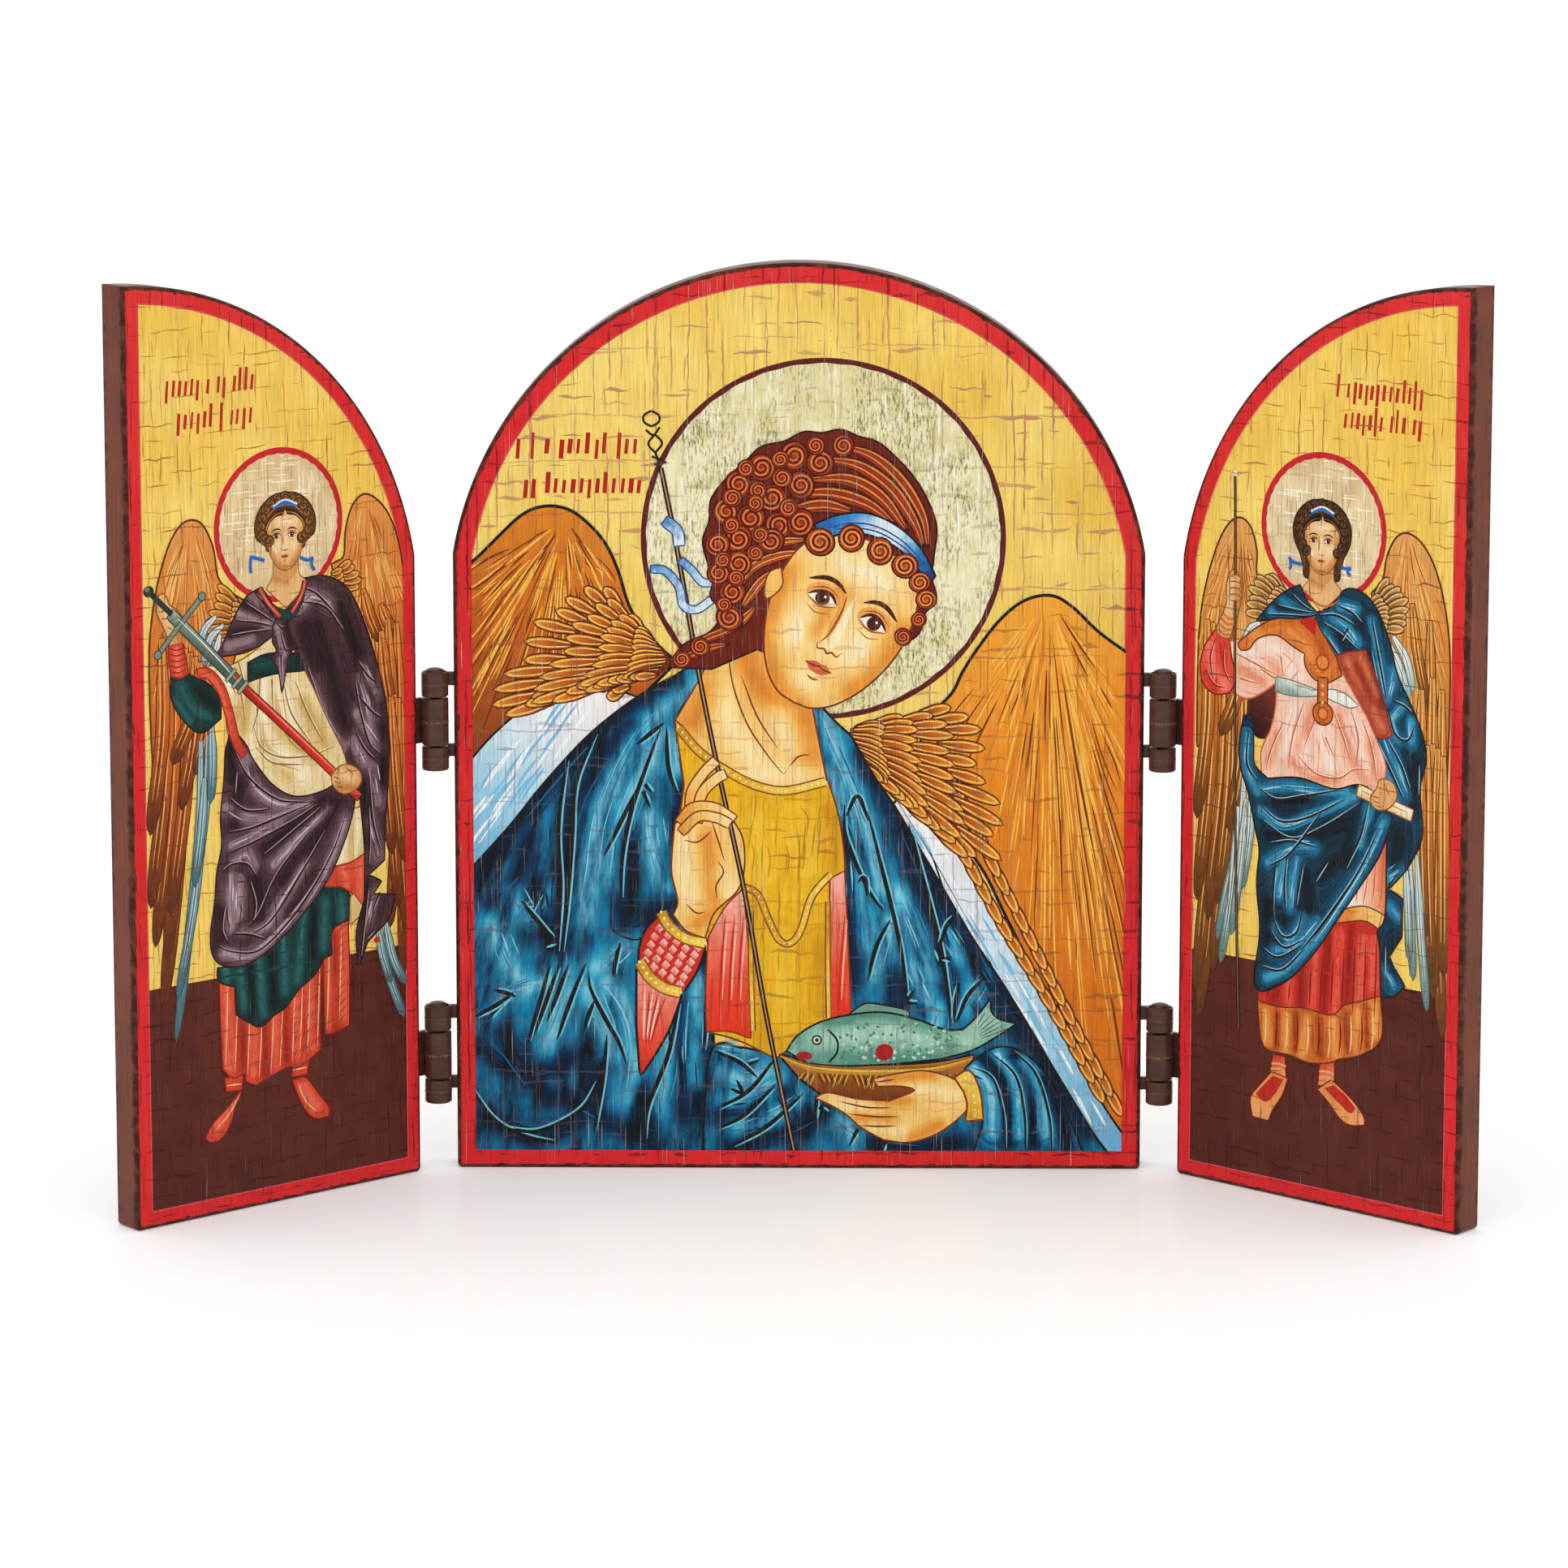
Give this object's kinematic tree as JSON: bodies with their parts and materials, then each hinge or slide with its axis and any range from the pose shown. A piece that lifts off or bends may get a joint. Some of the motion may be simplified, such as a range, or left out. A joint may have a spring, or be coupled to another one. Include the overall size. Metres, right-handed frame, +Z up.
{
  "type": "triptych altarpiece",
  "caption": "Small folding icon triptych: an arched centre board with hinged quarter-arch wings, standing open on its lower edges.",
  "frame": {"origin": "middle of the centre board's underside", "axes": "+Z up, the painted front looks along -Y, +X to the viewer's right"},
  "size_m": [0.2872, 0.0593, 0.2],
  "materials": {
    "board_paint": "satin brown paint on wood",
    "icon_print": "printed icon under satin varnish, with fine cracks",
    "hinge_plastic": "moulded dark brown plastic, satin"
  },
  "bodies": {
    "centre": {"centre_panel": "board_paint", "upper_left_hinge_fixed_leaf": "hinge_plastic", "upper_left_hinge_pin": "hinge_plastic", "lower_left_hinge_fixed_leaf": "hinge_plastic", "lower_left_hinge_pin": "hinge_plastic", "upper_right_hinge_fixed_leaf": "hinge_plastic", "upper_right_hinge_pin": "hinge_plastic", "lower_right_hinge_fixed_leaf": "hinge_plastic", "lower_right_hinge_pin": "hinge_plastic"},
    "left_wing": {"left_wing_panel": "board_paint", "upper_left_hinge_wing_leaf": "hinge_plastic", "lower_left_hinge_wing_leaf": "hinge_plastic"},
    "right_wing": {"right_wing_panel": "board_paint", "upper_right_hinge_wing_leaf": "hinge_plastic", "lower_right_hinge_wing_leaf": "hinge_plastic"}
  },
  "joints": [
    {"name": "left_wing_hinge", "type": "hinge", "parent": "centre", "child": "left_wing", "pos_m": [-0.079, -0.005, 0.063], "axis": [0, 0, 1], "range_deg": [-78, 139]},
    {"name": "right_wing_hinge", "type": "hinge", "parent": "centre", "child": "right_wing", "pos_m": [0.079, -0.005, 0.063], "axis": [0, 0, -1], "range_deg": [-78, 139]}
  ]
}
